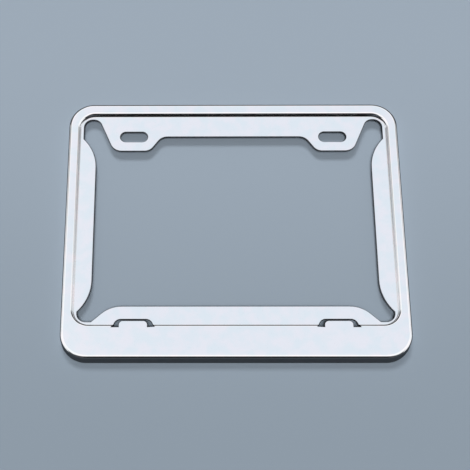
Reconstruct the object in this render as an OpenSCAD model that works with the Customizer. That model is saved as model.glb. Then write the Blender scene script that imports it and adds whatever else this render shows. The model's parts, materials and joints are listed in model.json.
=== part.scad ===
// Number plate holder, pressed from one sheet and chromed all over.
// It lies on the edge of its skirt, at z = 0, with its front up and its slotted edge towards +Y.
// The origin is the middle of the outline.

/* [Number plate] */
// Width of the plate that lies in the recess
plate_w = 190; // [180:1:240]
// Height of the plate that lies in the recess
plate_h = 140; // [120:1:200]
// Gap between the plate and the foot of the recess wall
plate_gap = 0.3; // [0.2:0.1:2]

/* [Frame] */
// Width of the rim at each side, from the foot of the recess wall outwards
rim_w = 7.2; // [5.5:0.1:12]
// Height of the rim at the top, from the foot of the recess wall upwards
rim_top_h = 8; // [5.5:0.1:14]
// Height of the wide band under the plate
band_h = 21.3; // [12:0.1:40]
// Depth from the front of the frame to the edge of the skirt
frame_t = 9; // [7.5:0.5:14]
// Radius of the outer corners
corner_r = 15.5; // [12:0.5:18]
// Thickness of the sheet
sheet_t = 1.2; // [0.8:0.1:1.6]
// Inside radius of the bend round the outer edge
edge_bend_r = 0.8; // [0.3:0.1:1.5]

/* [Recess] */
// Depth of the plate's seat below the front
seat_depth = 2.7; // [2.6:0.1:4.8]
// Radius of the recess corners
recess_r = 9; // [6.5:0.5:13]
// Lean of the recess wall
step_lean = 17; // [0:1:25]
// Inside radius of the two bends of the step
step_bend_r = 0.5; // [0.2:0.1:0.8]

/* [Seat] */
// Width of the lip that carries the seat round the corners
lip_w = 2.1; // [1.6:0.1:4]
// Radius of the openings in the corners
opening_r = 5.2; // [2.5:0.1:8]
// Width of the web along each side
web_w = 10.3; // [6:0.1:18]
// Drop from the top of the recess to the straight part of a side web
web_drop = 36; // [30:1:55]
// Rise from the bottom of the recess to the straight part of a side web
web_rise = 28.5; // [22:0.5:45]
// Radius of the ends of a side web
web_end_r = 29; // [24:1:40]
// Height of the strip above the band
strip_h = 12; // [9:0.1:20]
// Distance from the side of the recess to the upper corner of the strip
strip_inset = 21.4; // [17:0.1:27]
// Lean of the ends of the strip
strip_lean = 48; // [35:1:55]
// Radius of the upper corners of the strip
strip_end_r = 18; // [6:1:24]
// Height of the panel along the top, between the ears
panel_h = 14.4; // [8:0.1:18]

/* [Fixing slots] */
// Distance from the side of the recess to the middle of a slot
slot_inset = 33.4; // [33:0.1:50]
// Distance of the slots below the top of the recess
slot_drop = 14.4; // [12:0.1:18]
// Length of a slot from end to end
slot_l = 17; // [10:0.5:20]
// Width of a slot
slot_w = 7; // [5:0.1:9]

/* [Ears] */
// Distance from the slots down to the lower edge of an ear
ear_drop = 10.1; // [8:0.1:16]
// Distance from the middle of a slot to the outer corner of its ear
ear_out = 12.5; // [10:0.5:14]
// Distance from the middle of a slot to the inner corner of its ear
ear_in = 10; // [9.5:0.5:16]
// Lean of the outer edge of an ear
ear_out_lean = 23; // [15:1:30]
// Lean of the inner edge of an ear
ear_in_lean = 36; // [20:1:50]
// Radius of the outer corner of an ear
ear_out_r = 7.5; // [3:0.5:8]
// Radius of the inner corner of an ear
ear_in_r = 6.5; // [2:0.5:7]
// Radius between an ear and the panel
ear_root_r = 7; // [2:0.5:9]

/* [Tongues] */
// Distance from the side of the recess to the middle of a tongue
tongue_inset = 35.3; // [26:0.1:60]
// Width of a tongue
tongue_w = 17; // [10:0.5:20]
// How far a tongue reaches over the seat
tongue_reach = 1.8; // [1:0.1:4]
// Radius of the corners of a tongue
tongue_r = 2.6; // [0.5:0.1:4]
// Width of the notch that frees a tongue, along the edge of the band
notch_w = 25; // [22:0.1:32]
// How far the notch reaches into the strip
notch_reach = 3.6; // [2.5:0.1:6]
// Lean of the ends of the notch
notch_lean = 25; // [0:1:35]
// Radius of the corners of the notch
notch_r = 4; // [1:0.1:5]

/* [Hidden] */
$fn = 96;

// How far a cut or an outline is carried past the line where it ends
past = 1;
// Flat stretch beyond a bend, by which the bent and the flat sheet overlap
lap = 0.4;

recess_w = plate_w + 2 * plate_gap;
recess_h = plate_h + 2 * plate_gap;
frame_w = recess_w + 2 * rim_w;
frame_h = recess_h + rim_top_h + band_h;
recess_top = frame_h / 2 - rim_top_h;
recess_bottom = band_h - frame_h / 2;
recess_side = recess_w / 2;
recess_mid = (recess_top + recess_bottom) / 2;
seat_z = frame_t - seat_depth;
edge_out_r = edge_bend_r + sheet_t;
step_out_r = step_bend_r + sheet_t;

// The step turns through this angle twice, and its wall covers this width
step_turn = 90 - step_lean;
step_run = seat_depth * tan(step_lean);
// From the foot of the wall, the seat is flat after this distance, and the front after the next one
seat_start = step_bend_r * tan(step_turn / 2);
front_start = step_run + step_out_r * tan(step_turn / 2);

// The front of the band is flat up to this line, where the step starts to bend
band_edge = recess_bottom - front_start;
lip_top = recess_top - lip_w;
slot_y = recess_top - slot_drop;
ear_bottom = slot_y - ear_drop;
slot_x = recess_side - slot_inset;
tongue_x = recess_side - tongue_inset;
panel_bottom = recess_top - panel_h;

// Turn of an outline at corner b, in degrees, positive to the left
function turn(a, b, c) = atan2(cross(b - a, c - b), (b - a) * (c - b));

// Unit vector from a to b
function heading(a, b) = (b - a) / norm(b - a);

// Distance from corner b to the ends of its round
function round_reach(a, b, c, r) = r * tan(abs(turn(a, b, c)) / 2);

// Where the round of corner b starts, coming from a
function round_start(a, b, c, r) = b - heading(a, b) * round_reach(a, b, c, r);

// Middle of the round of corner b
function round_middle(a, b, c, r) = round_start(a, b, c, r)
    + sign(turn(a, b, c)) * r * [-heading(a, b).y, heading(a, b).x];

// Outline through the points p, counter-clockwise, with the corners rounded to the radii r
module rounded_outline(p, r) {
    n = len(p);
    before = [for (i = [0 : n - 1]) p[(i + n - 1) % n]];
    after = [for (i = [0 : n - 1]) p[(i + 1) % n]];
    chords = [for (i = [0 : n - 1]) each r[i] == 0 ? [p[i]] : [
        round_start(before[i], p[i], after[i], r[i]),
        round_start(after[i], p[i], before[i], r[i])
    ]];
    difference() {
        union() {
            polygon(chords);
            for (i = [0 : n - 1]) {
                if (r[i] > 0 && turn(before[i], p[i], after[i]) > 0) {
                    translate(round_middle(before[i], p[i], after[i], r[i])) circle(r[i]);
                }
            }
        }
        for (i = [0 : n - 1]) {
            if (r[i] > 0 && turn(before[i], p[i], after[i]) < 0) {
                translate(round_middle(before[i], p[i], after[i], r[i])) circle(r[i]);
            }
        }
    }
}

// Rectangle with round corners, about the origin
module rounded_rectangle(w, h, r) {
    square([w - 2 * r, h], center = true);
    square([w, h - 2 * r], center = true);
    for (x = [-1, 1], y = [-1, 1]) {
        translate([x * (w / 2 - r), y * (h / 2 - r)]) circle(r);
    }
}

// Long hole or long disc with round ends, along X, about the origin
module stadium(l, w) {
    square([l - w, w], center = true);
    for (x = [-1, 1]) {
        translate([x * (l - w) / 2, 0]) circle(d = w);
    }
}

// Both halves of something drawn on the +X side
module both_sides() {
    children();
    mirror([1, 0]) children();
}

// Sweeps a section round a rectangle with round corners.
// The section's x is the distance from the middle of a corner, outwards, and its y is the height.
module swept(w, h, r) {
    reach = [w / 2 - r, h / 2 - r];
    for (i = [0 : 3]) {
        out = reach[i % 2];
        along = reach[(i + 1) % 2];
        rotate([0, 0, 90 * i]) translate([out, 0, 0]) {
            rotate([90, 0, 0]) linear_extrude(2 * along, center = true) children();
            translate([0, along, 0]) rotate_extrude(angle = 90) children();
        }
    }
}

// What lies under the front and inside the skirt, at a depth in the sheet
module under_skirt(depth) {
    side = corner_r - depth;
    top = frame_t - depth;
    rounded_outline([[0, -depth], [side, -depth], [side, top], [0, top]], [0, 0, edge_out_r - depth, 0]);
}

// Section of the skirt and the bend that joins it to the front
module skirt_section() {
    intersection() {
        difference() {
            under_skirt(0);
            under_skirt(sheet_t);
        }
        translate([corner_r - edge_out_r - lap, 0]) square([edge_out_r + lap, frame_t]);
    }
}

// What lies under the front, the step and the seat, at a depth in the sheet
module under_step(depth) {
    foot = recess_r + depth * tan(step_turn / 2);
    far = recess_r + 2 * frame_t;
    top = frame_t - depth;
    seat = seat_z - depth;
    rounded_outline(
        [[0, -depth], [far, -depth], [far, top], [foot + step_run, top], [foot, seat], [0, seat]],
        [0, 0, 0, step_out_r - depth, step_bend_r + depth, 0]
    );
}

// Section of the step from the front down to the seat: bend, wall, bend
module step_section() {
    intersection() {
        difference() {
            under_step(0);
            under_step(sheet_t);
        }
        translate([recess_r - seat_start - lap, 0]) square([seat_start + front_start + 2 * lap, frame_t]);
    }
}

// Flat front of the rim and the band, with the two tongues that reach over the recess
module front_outline() {
    difference() {
        rounded_rectangle(frame_w - 2 * edge_out_r, frame_h - 2 * edge_out_r, corner_r - edge_out_r);
        translate([0, recess_mid]) {
            rounded_rectangle(recess_w + 2 * front_start, recess_h + 2 * front_start, recess_r + front_start);
        }
    }
    both_sides() tongue_outline();
}

// One tongue, from a little inside the band to its tip
module tongue_outline() {
    tip = recess_bottom + tongue_reach;
    left = tongue_x - tongue_w / 2;
    right = tongue_x + tongue_w / 2;
    rounded_outline(
        [[left, band_edge - past], [right, band_edge - past], [right, tip], [left, tip]],
        [0, 0, tongue_r, tongue_r]
    );
}

// The notch that frees one tongue from the step and the strip
module notch_outline() {
    top = recess_bottom + notch_reach;
    foot = band_edge - past;
    half_foot = notch_w / 2 + past * tan(notch_lean);
    half_top = notch_w / 2 - (top - band_edge) * tan(notch_lean);
    translate([tongue_x, 0]) rounded_outline(
        [[-half_foot, foot], [half_foot, foot], [half_top, top], [-half_top, top]],
        [0, 0, notch_r, notch_r]
    );
}

// The panel along the top of the seat, with the ear round one slot
module panel_outline() {
    ear_top = panel_bottom - ear_bottom;
    shoulder_x = slot_x + ear_out + (lip_top - ear_bottom) * tan(ear_out_lean);
    rounded_outline(
        [
            [-past, panel_bottom],
            [slot_x - ear_in - ear_top * tan(ear_in_lean), panel_bottom],
            [slot_x - ear_in, ear_bottom],
            [slot_x + ear_out, ear_bottom],
            [shoulder_x, lip_top],
            [shoulder_x + 2 * opening_r, lip_top],
            [shoulder_x + 2 * opening_r, recess_top],
            [-past, recess_top]
        ],
        [0, ear_root_r, ear_in_r, ear_out_r, opening_r, 0, 0, 0]
    );
}

// The web along one side of the seat
module web_outline() {
    top = recess_top - web_drop;
    bottom = recess_bottom + web_rise;
    translate([recess_side - web_w + web_end_r, (top + bottom) / 2]) {
        rotate(90) stadium(top - bottom + 2 * web_end_r, 2 * web_end_r);
    }
}

// Half of the strip along the bottom of the seat
module strip_outline() {
    top = recess_bottom + strip_h;
    corner_x = recess_side - strip_inset;
    rounded_outline(
        [[-past, recess_bottom], [corner_x + strip_h * tan(strip_lean), recess_bottom], [corner_x, top], [-past, top]],
        [0, 0, strip_end_r, 0]
    );
}

// The lip that runs round the recess
module lip_outline() {
    difference() {
        square([frame_w, frame_h], center = true);
        translate([0, recess_mid]) {
            rounded_rectangle(recess_w - 2 * lip_w, recess_h - 2 * lip_w, opening_r);
        }
    }
}

// The whole seat, with its slots and without the notches
module seat_outline() {
    difference() {
        intersection() {
            translate([0, recess_mid]) {
                rounded_rectangle(recess_w - 2 * seat_start, recess_h - 2 * seat_start, recess_r - seat_start);
            }
            union() {
                lip_outline();
                both_sides() {
                    strip_outline();
                    web_outline();
                    panel_outline();
                }
            }
        }
        both_sides() translate([slot_x, slot_y]) stadium(slot_l, slot_w);
    }
}

// The whole holder: skirt, front, step and seat, all of one sheet
module holder_frame() {
    color("gainsboro") {
        swept(frame_w, frame_h, corner_r) skirt_section();
        translate([0, 0, frame_t - sheet_t]) linear_extrude(sheet_t) front_outline();
        difference() {
            union() {
                translate([0, recess_mid, 0]) swept(recess_w, recess_h, recess_r) step_section();
                translate([0, 0, seat_z - sheet_t]) linear_extrude(sheet_t) seat_outline();
            }
            both_sides() linear_extrude(frame_t + past) notch_outline();
        }
    }
}

holder_frame();
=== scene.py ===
import json
import math
import bpy
from mathutils import Matrix, Vector

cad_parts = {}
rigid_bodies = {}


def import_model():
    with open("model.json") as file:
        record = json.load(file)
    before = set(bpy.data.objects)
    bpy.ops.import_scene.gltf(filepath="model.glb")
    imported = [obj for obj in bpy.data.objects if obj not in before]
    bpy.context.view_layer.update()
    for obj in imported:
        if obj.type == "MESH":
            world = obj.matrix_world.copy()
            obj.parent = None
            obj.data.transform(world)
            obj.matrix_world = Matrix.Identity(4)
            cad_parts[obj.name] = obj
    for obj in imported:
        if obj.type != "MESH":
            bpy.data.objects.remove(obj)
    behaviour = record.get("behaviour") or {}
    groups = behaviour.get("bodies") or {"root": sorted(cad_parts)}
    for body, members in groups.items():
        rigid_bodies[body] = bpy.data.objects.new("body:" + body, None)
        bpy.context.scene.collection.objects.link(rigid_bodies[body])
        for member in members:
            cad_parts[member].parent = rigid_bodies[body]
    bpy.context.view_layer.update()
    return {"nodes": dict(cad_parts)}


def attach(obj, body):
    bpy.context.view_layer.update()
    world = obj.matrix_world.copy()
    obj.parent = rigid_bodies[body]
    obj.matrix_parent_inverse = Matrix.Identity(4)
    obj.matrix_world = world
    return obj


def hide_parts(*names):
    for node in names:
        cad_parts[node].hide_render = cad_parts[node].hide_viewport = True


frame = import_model()
print("frame loaded")

bpy.context.scene.view_settings.view_transform = "Standard"

# the camera stands low over the wide band, a little to the left
camera = {
    "elevation": 64.5,   # degrees above the surface
    "azimuth": 1.03065,
    "roll": -0.98913,
    "distance": 0.803315,  # metres to the point that it looks at
    "lookAt": (-0.0287275, -0.0023939, 0.0),
    "lens": 101.185,
    "shiftX": 0.10219,
}


def addCamera():
    e = math.radians(camera["elevation"])
    a = math.radians(camera["azimuth"])
    back = Vector((math.sin(a) * math.cos(e), -math.cos(a) * math.cos(e), math.sin(e)))
    place = Vector(camera["lookAt"]) + back * camera["distance"]
    turn = back.to_track_quat("Z", "Y").to_matrix().to_4x4()
    roll = Matrix.Rotation(math.radians(camera["roll"]), 4, "Z")
    bpy.ops.object.camera_add()
    eye = bpy.context.object
    eye.name = "camera"
    eye.matrix_world = Matrix.Translation(place) @ turn @ roll
    eye.data.lens = camera["lens"]
    eye.data.sensor_width = 36.0
    eye.data.shift_x = camera["shiftX"]
    eye.data.clip_start = 0.01
    eye.data.clip_end = 50.0
    bpy.context.scene.camera = eye


addCamera()
print("camera set")


def newMaterial(name):
    material = bpy.data.materials.new(name)
    material.use_nodes = True
    nodes = material.node_tree.nodes
    return material, nodes, material.node_tree.links, nodes["Principled BSDF"]


def addNoise(nodes, links, where, scale, detail=2.0):
    noise = nodes.new("ShaderNodeTexNoise")
    noise.inputs["Scale"].default_value = scale
    noise.inputs["Detail"].default_value = detail
    links.new(where.outputs["Object"], noise.inputs["Vector"])
    return noise


def mapRange(nodes, links, source, fromMin, fromMax, toMin=0.0, toMax=1.0):
    step = nodes.new("ShaderNodeMapRange")
    step.interpolation_type = "SMOOTHSTEP"
    step.inputs["From Min"].default_value = fromMin
    step.inputs["From Max"].default_value = fromMax
    step.inputs["To Min"].default_value = toMin
    step.inputs["To Max"].default_value = toMax
    links.new(source, step.inputs["Value"])
    return step.outputs["Result"]


def mathNode(nodes, links, operation, first, second):
    node = nodes.new("ShaderNodeMath")
    node.operation = operation
    for socket, value in zip(node.inputs, (first, second)):
        if isinstance(value, float):
            socket.default_value = value
        else:
            links.new(value, socket)
    return node.outputs[0]


def mixColours(nodes, links, first, second, factor):
    mix = nodes.new("ShaderNodeMix")
    mix.data_type = "RGBA"
    mix.inputs["A"].default_value = (*first, 1.0)
    mix.inputs["B"].default_value = (*second, 1.0)
    links.new(factor, mix.inputs["Factor"])
    return mix.outputs["Result"]


# polished chrome on pressed steel, with the slight waves that pressing and polishing leave, and painted shade darkening
# its creases
chrome = {
    "tints": ((0.775, 0.805, 0.83), (0.835, 0.81, 0.835)),
    "tintScale": 130.0,
    "roughness": (0.035, 0.075),
    "hazeScale": 60.0,
    "waveScale": 45.0,
    "waveDepth": 0.00004,
    "grainScale": 700.0,
    "grainDepth": 0.0000015,
    "paintedShadeReach": 0.0009,
    "paintedShadeEdge": (0.5, 0.92),
    "paintedShadeLevel": 0.08,   # what the painted shade leaves of the colour in the foot of a crease
}


def chromePlate():
    material, nodes, links, shader = newMaterial("chromePlate")
    where = nodes.new("ShaderNodeTexCoord")
    shader.inputs["Metallic"].default_value = 1.0

    cloud = addNoise(nodes, links, where, chrome["tintScale"])
    tint = mixColours(nodes, links, *chrome["tints"], mapRange(nodes, links, cloud.outputs["Fac"], 0.32, 0.68))
    # painted shade: the chrome colour is darkened in creases and at the foot of walls, where shade falls
    crease = nodes.new("ShaderNodeAmbientOcclusion")
    crease.samples = 8
    crease.inputs["Distance"].default_value = chrome["paintedShadeReach"]
    paintedCreaseShade = mapRange(nodes, links, crease.outputs["AO"], *chrome["paintedShadeEdge"], chrome["paintedShadeLevel"], 1.0)
    plate = nodes.new("ShaderNodeVectorMath")
    plate.operation = "SCALE"
    links.new(tint, plate.inputs[0])
    links.new(paintedCreaseShade, plate.inputs["Scale"])
    links.new(plate.outputs[0], shader.inputs["Base Color"])

    haze = addNoise(nodes, links, where, chrome["hazeScale"], 4.0)
    links.new(mapRange(nodes, links, haze.outputs["Fac"], 0.35, 0.65, *chrome["roughness"]), shader.inputs["Roughness"])

    wave = addNoise(nodes, links, where, chrome["waveScale"], 1.0)
    waves = nodes.new("ShaderNodeBump")
    waves.inputs["Distance"].default_value = chrome["waveDepth"]
    links.new(wave.outputs["Fac"], waves.inputs["Height"])
    grain = addNoise(nodes, links, where, chrome["grainScale"], 2.0)
    grains = nodes.new("ShaderNodeBump")
    grains.inputs["Distance"].default_value = chrome["grainDepth"]
    links.new(grain.outputs["Fac"], grains.inputs["Height"])
    links.new(waves.outputs["Normal"], grains.inputs["Normal"])
    links.new(grains.outputs["Normal"], shader.inputs["Normal"])
    return material


# the sheared edges are coloured near black, a painted dark outline for the shade and dark reflections along them; they
# are left with little polish
paintedEdgeShade = {
    "tints": ((0.10, 0.105, 0.115), (0.17, 0.17, 0.18)),
    "tintScale": 400.0,
    "roughness": (0.2, 0.35),
}


def paintedEdgeShadeMaterial():
    material, nodes, links, shader = newMaterial("paintedEdgeShade")
    where = nodes.new("ShaderNodeTexCoord")
    shader.inputs["Metallic"].default_value = 1.0
    cloud = addNoise(nodes, links, where, paintedEdgeShade["tintScale"], 3.0)
    tint = mixColours(nodes, links, *paintedEdgeShade["tints"], cloud.outputs["Fac"])
    links.new(tint, shader.inputs["Base Color"])
    links.new(mapRange(nodes, links, cloud.outputs["Fac"], 0.35, 0.65, *paintedEdgeShade["roughness"]),
              shader.inputs["Roughness"])
    return material


# the pressed sheet, its sheared edges rolled over a little as a press leaves them
sheet = {
    "weldWithin": 0.00001,
    "shearedAbove": 60.0,   # degrees between two faces
    "edgeRound": 0.00035,
    "edgeSteps": 4,
    "smoothUnder": 40.0,
}


def addSheet():
    cad = frame["nodes"]["holder_frame"]
    bpy.ops.object.select_all(action="DESELECT")
    cad.select_set(True)
    bpy.context.view_layer.objects.active = cad
    bpy.ops.object.duplicate()
    piece = bpy.context.object
    piece.name = "pressedSheet"
    bpy.ops.object.parent_clear(type="CLEAR_KEEP_TRANSFORM")
    bpy.ops.mesh.customdata_custom_splitnormals_clear()
    piece.data.materials.clear()
    piece.data.materials.append(chromePlate())
    piece.data.materials.append(paintedEdgeShadeMaterial())
    bpy.ops.object.mode_set(mode="EDIT")
    bpy.ops.mesh.select_mode(type="EDGE")
    bpy.ops.mesh.select_all(action="SELECT")
    bpy.ops.mesh.remove_doubles(threshold=sheet["weldWithin"])
    bpy.ops.mesh.dissolve_limited(angle_limit=math.radians(0.2))
    bpy.ops.mesh.select_all(action="DESELECT")
    bpy.ops.mesh.edges_select_sharp(sharpness=math.radians(sheet["shearedAbove"]))
    # the bevels take the second slot, the near-black painted dark edge
    bpy.ops.mesh.bevel(offset=sheet["edgeRound"], segments=sheet["edgeSteps"], affect="EDGES",
                        clamp_overlap=False, loop_slide=False, material=1)
    bpy.ops.object.mode_set(mode="OBJECT")
    bpy.ops.object.shade_smooth_by_angle(angle=math.radians(sheet["smoothUnder"]))
    bpy.ops.object.modifier_add(type="WEIGHTED_NORMAL")
    piece.modifiers[-1].keep_sharp = True
    bpy.ops.object.modifier_apply(modifier=piece.modifiers[-1].name)
    print("sheet:", len(piece.data.vertices), "vertices", len(piece.data.polygons), "faces")
    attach(piece, "root")
    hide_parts("holder_frame")


addSheet()
print("sheet built")

# plain table, its colour painted a little lighter towards the back: a painted falloff of the light
floor = {
    "size": 6.0,
    "near": (0.290, 0.350, 0.415),
    "far": (0.365, 0.435, 0.515),
    "reach": (-0.16, 0.14),
    "mirrored": 0.16,   # how much of its brightness the chrome shows: painted shade on the table where it is seen in reflections
    "roughness": 0.7,
}


def addFloor():
    bpy.ops.mesh.primitive_plane_add(size=floor["size"], location=(0, 0, 0))
    plane = bpy.context.object
    plane.name = "floor"
    material, nodes, links, shader = newMaterial("tableWithPaintedFalloff")
    where = nodes.new("ShaderNodeTexCoord")
    split = nodes.new("ShaderNodeSeparateXYZ")
    links.new(where.outputs["Object"], split.inputs[0])
    # painted light: the table's colour grows lighter towards the back
    along = mapRange(nodes, links, split.outputs["Y"], *floor["reach"])
    paintedFalloff = mixColours(nodes, links, floor["near"], floor["far"], along)
    # painted shade in reflections: the table is darker where the chrome mirrors it
    light = nodes.new("ShaderNodeLightPath")
    paintedReflectionShade = mapRange(nodes, links, light.outputs["Is Glossy Ray"], 0.0, 1.0, 1.0, floor["mirrored"])
    dimmed = nodes.new("ShaderNodeVectorMath")
    dimmed.operation = "SCALE"
    links.new(paintedFalloff, dimmed.inputs[0])
    links.new(paintedReflectionShade, dimmed.inputs["Scale"])
    links.new(dimmed.outputs[0], shader.inputs["Base Color"])
    shader.inputs["Roughness"].default_value = floor["roughness"]
    shader.inputs["Specular IOR Level"].default_value = 0.2
    plane.data.materials.append(material)


addFloor()

# what the chrome reflects: a white tent, dark low down, at the camera's stand and at two side stands
studio = {
    "ceiling": (0.94, 1.00, 1.07),    # what the flat sheet mirrors to the camera
    "walls": (1.2, 1.2, 1.2),
    "ceilingAt": (0.06, 0.43, 0.90),
    "ceilingEdge": (0.95, 0.995),
    "dark": 0.07,
    "black": 0.012,             # straight behind the camera
    "blackAt": (0.045, 0.46),
    "blackSize": (0.24, 0.45),
    "blackEdge": (1.0, 0.75),
    "horizon": (0.42, 0.54),    # heights between which the dark turns white
    "sideDoors": (0.80, 0.88),  # beyond this much to the side, the tent is white down to the ground
    "lobe": (0.80, 0.77),       # half width and height of the dark at the camera's stand
    "lobeEdge": (0.85, 1.1),
    "behind": (-0.02, 0.10),
    "standAt": (0.578, 0.56, 0.595),  # a dim stand at the back on each side
    "standEdge": (0.98, 0.992),
    "standDim": 0.55,
    "ambient": (0.12, 0.12, 0.12),
}


def addStudio():
    world = bpy.data.worlds.new("studio")
    bpy.context.scene.world = world
    world.use_nodes = True
    nodes, links = world.node_tree.nodes, world.node_tree.links
    background = nodes["Background"]
    where = nodes.new("ShaderNodeTexCoord")
    split = nodes.new("ShaderNodeSeparateXYZ")
    links.new(where.outputs["Generated"], split.inputs[0])
    sky = mapRange(nodes, links, split.outputs["Z"], *studio["horizon"])
    sideways = mathNode(nodes, links, "ABSOLUTE", split.outputs["X"], 0.0)
    doors = mapRange(nodes, links, sideways, *studio["sideDoors"])
    tent = mathNode(nodes, links, "MAXIMUM", sky, doors)
    across = mathNode(nodes, links, "DIVIDE", split.outputs["X"], studio["lobe"][0])
    height = mathNode(nodes, links, "DIVIDE", split.outputs["Z"], studio["lobe"][1])
    ring = mathNode(nodes, links, "ADD", mathNode(nodes, links, "MULTIPLY", across, across),
                    mathNode(nodes, links, "MULTIPLY", height, height))
    outside = mapRange(nodes, links, ring, *studio["lobeEdge"])
    behind = mapRange(nodes, links, split.outputs["Y"], *studio["behind"])
    clear = mathNode(nodes, links, "MAXIMUM", outside, behind)
    lit = mathNode(nodes, links, "MULTIPLY", clear, tent)
    mirrored = nodes.new("ShaderNodeCombineXYZ")
    links.new(sideways, mirrored.inputs["X"])
    links.new(split.outputs["Y"], mirrored.inputs["Y"])
    links.new(split.outputs["Z"], mirrored.inputs["Z"])
    toStand = nodes.new("ShaderNodeVectorMath")
    toStand.operation = "DOT_PRODUCT"
    toStand.inputs[1].default_value = studio["standAt"]
    links.new(mirrored.outputs[0], toStand.inputs[0])
    stands = mapRange(nodes, links, toStand.outputs["Value"], *studio["standEdge"], 1.0, studio["standDim"])
    lit = mathNode(nodes, links, "MULTIPLY", lit, stands)
    toCeiling = nodes.new("ShaderNodeVectorMath")
    toCeiling.operation = "DOT_PRODUCT"
    toCeiling.inputs[1].default_value = studio["ceilingAt"]
    links.new(where.outputs["Generated"], toCeiling.inputs[0])
    ceiling = mapRange(nodes, links, toCeiling.outputs["Value"], *studio["ceilingEdge"])
    white = mixColours(nodes, links, studio["walls"], studio["ceiling"], ceiling)
    blackX = mathNode(nodes, links, "SUBTRACT", split.outputs["X"], studio["blackAt"][0])
    blackX = mathNode(nodes, links, "DIVIDE", blackX, studio["blackSize"][0])
    blackZ = mathNode(nodes, links, "SUBTRACT", split.outputs["Z"], studio["blackAt"][1])
    blackZ = mathNode(nodes, links, "DIVIDE", blackZ, studio["blackSize"][1])
    patch = mathNode(nodes, links, "ADD", mathNode(nodes, links, "MULTIPLY", blackX, blackX),
                     mathNode(nodes, links, "MULTIPLY", blackZ, blackZ))
    black = mapRange(nodes, links, patch, *studio["blackEdge"])
    unlit = mapRange(nodes, links, mathNode(nodes, links, "SUBTRACT", black, behind), 0.0, 1.0,
                     studio["dark"], studio["black"])
    seen = nodes.new("ShaderNodeMix")
    seen.data_type = "RGBA"
    links.new(unlit, seen.inputs["A"])
    links.new(white, seen.inputs["B"])
    links.new(lit, seen.inputs["Factor"])
    light = nodes.new("ShaderNodeLightPath")
    ground = nodes.new("ShaderNodeMix")
    ground.data_type = "RGBA"
    ground.inputs["A"].default_value = (*studio["ambient"], 1.0)
    links.new(seen.outputs["Result"], ground.inputs["B"])
    links.new(light.outputs["Is Glossy Ray"], ground.inputs["Factor"])
    links.new(ground.outputs["Result"], background.inputs["Color"])


addStudio()

# two broad soft lamps: one high over the slotted edge, one over the camera
lamps = {
    "backLamp": {"pitch": -28.0, "yaw": -4.0, "energy": 1.18, "angle": 20.0},
    "frontLamp": {"pitch": 25.5, "yaw": 0.0, "energy": 1.62, "angle": 12.0},
}


def addLamp(name):
    lamp = lamps[name]
    bpy.ops.object.light_add(type="SUN", rotation=(math.radians(lamp["pitch"]), math.radians(lamp["yaw"]), 0))
    sun = bpy.context.object
    sun.name = name
    sun.data.energy = lamp["energy"]
    sun.data.angle = math.radians(lamp["angle"])
    sun.visible_glossy = False


for lampName in lamps:
    addLamp(lampName)
print("studio lit")
